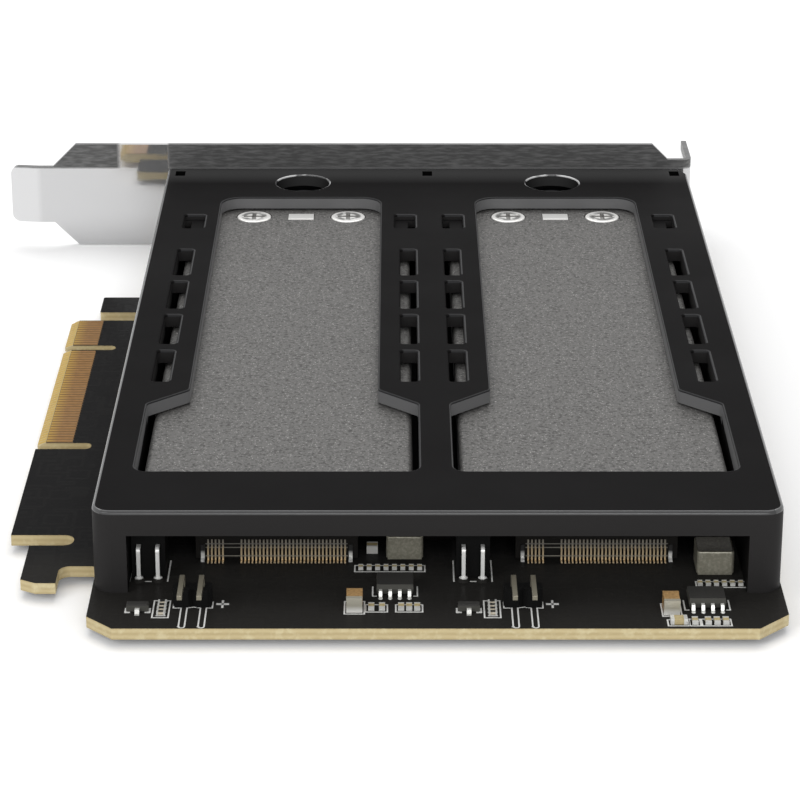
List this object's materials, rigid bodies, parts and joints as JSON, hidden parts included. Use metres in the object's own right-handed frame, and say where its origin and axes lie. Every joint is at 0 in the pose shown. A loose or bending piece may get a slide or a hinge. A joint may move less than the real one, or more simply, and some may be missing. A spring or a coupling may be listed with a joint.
{
  "type": "drive adapter card",
  "caption": "Expansion card for a computer slot that holds solid-state drives in slide-out trays under a windowed black cage.",
  "frame": {"origin": "middle of the connector's key notch, at the connector's edge, on the board's component face", "axes": "+X from the connector's edge to the top edge of the card, +Y along the card to the slot bracket, +Z out of the component face"},
  "size_m": [0.12, 0.1716, 0.0186],
  "materials": {
    "solder_mask": "semi-gloss black",
    "contact_gold": "plated, satin",
    "cage_black": "fine satin moulding",
    "bright_steel": "bright rolled sheet",
    "screw_steel": "plated",
    "lid_metal": "blasted, fine speckle",
    "black_plastic": "matt",
    "socket_brown": "matt",
    "tin": "solder coated",
    "coil_grey": "dull grey",
    "ceramic": "fired ceramic",
    "resistor_black": "glazed",
    "lamp_lens": "clear",
    "light_pipe": "clear moulding",
    "pad_grey": "soft, dull",
    "tray_black": "moulded"
  },
  "bodies": {
    "card": {"board": "solder_mask", "edge_contacts": "contact_gold", "cage": "cage_black", "cage_screws": "screw_steel", "slot_bracket": "bright_steel", "bracket_screws": "screw_steel", "socket_tabs": "tin", "led_housings": "black_plastic", "led_leads": "tin", "header_bodies": "black_plastic", "header_pins": "screw_steel", "power_inductors": "coil_grey", "driver_chips": "black_plastic", "driver_chip_leads": "tin", "transistors": "black_plastic", "transistor_leads": "tin", "bulk_capacitors": "ceramic", "bulk_capacitor_ends": "tin", "chip_capacitors": "ceramic", "chip_resistors": "resistor_black", "chip_ends": "tin", "left_drive_socket": "socket_brown", "left_socket_contacts": "contact_gold", "left_led": "lamp_lens", "right_drive_socket": "socket_brown", "right_socket_contacts": "contact_gold", "right_led": "lamp_lens"},
    "left_tray": {"left_tray": "tray_black", "left_tray_lid": "lid_metal", "left_lid_screws": "screw_steel", "left_lid_clip": "bright_steel", "left_thermal_pad": "pad_grey", "left_drive_standoff": "screw_steel", "left_drive_screw": "screw_steel", "left_light_pipe": "light_pipe", "left_bezel": "tray_black", "left_bezel_screws": "screw_steel", "left_lever_pin": "screw_steel"},
    "left_lever": {"left_eject_lever": "tray_black"},
    "right_tray": {"right_tray": "tray_black", "right_tray_lid": "lid_metal", "right_lid_screws": "screw_steel", "right_lid_clip": "bright_steel", "right_thermal_pad": "pad_grey", "right_drive_standoff": "screw_steel", "right_drive_screw": "screw_steel", "right_light_pipe": "light_pipe", "right_bezel": "tray_black", "right_bezel_screws": "screw_steel", "right_lever_pin": "screw_steel"},
    "right_lever": {"right_eject_lever": "tray_black"}
  },
  "joints": [
    {"name": "left_tray_slide", "type": "slide", "parent": "card", "child": "left_tray", "axis": [0, 1, 0], "range_m": [0, 0.15]},
    {"name": "left_lever_hinge", "type": "hinge", "parent": "left_tray", "child": "left_lever", "pos_m": [0.05323, 0.0652, 0.0053], "axis": [0, 0, -1], "range_deg": [0, 60]},
    {"name": "right_tray_slide", "type": "slide", "parent": "card", "child": "right_tray", "axis": [0, 1, 0], "range_m": [0, 0.15]},
    {"name": "right_lever_hinge", "type": "hinge", "parent": "right_tray", "child": "right_lever", "pos_m": [0.09648, 0.0652, 0.0053], "axis": [0, 0, -1], "range_deg": [0, 60]}
  ]
}
